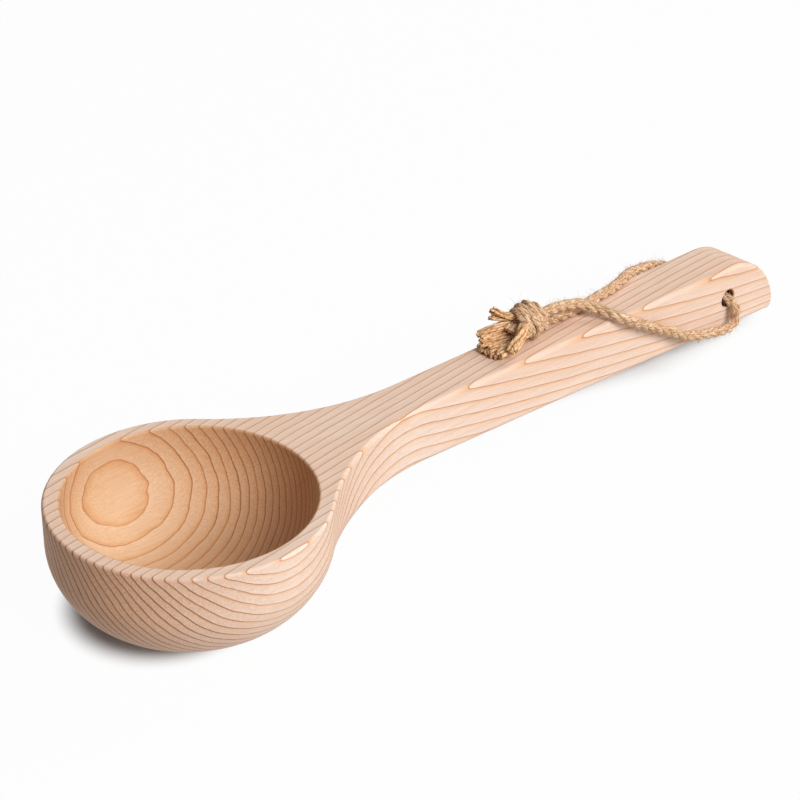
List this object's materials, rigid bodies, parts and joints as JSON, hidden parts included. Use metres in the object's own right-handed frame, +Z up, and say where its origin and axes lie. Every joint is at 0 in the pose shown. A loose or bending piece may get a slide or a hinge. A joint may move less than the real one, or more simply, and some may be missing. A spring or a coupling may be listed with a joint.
{
  "type": "sauna ladle",
  "caption": "Wooden sauna ladle carved from one board: round deep bowl, filleted neck, straight handle that thickens to a rounded end, and a knotted jute hanging loop through a cross hole.",
  "frame": {"origin": "on the bench, under the middle of the wood's length and width", "axes": "+X from the bowl to the handle's end, +Z up, -Y towards the side that the picture shows"},
  "size_m": [0.3884, 0.1048, 0.0556],
  "materials": {
    "softwood": "sanded, unfinished",
    "jute": "twisted natural fibre"
  },
  "bodies": {
    "ladle": {"ladle_body": "softwood"},
    "cord": {"cord_loop": "jute", "cord_knot": "jute", "tail_strand_1": "jute", "tail_strand_2": "jute", "tail_strand_3": "jute", "tail_strand_4": "jute", "tail_strand_5": "jute", "tail_strand_6": "jute"}
  },
  "joints": [
    {"name": "cord_swing", "type": "hinge", "parent": "ladle", "child": "cord", "pos_m": [0.15837, 0, 0.01842], "axis": [0, 1, 0], "range_deg": [0, 170]}
  ]
}
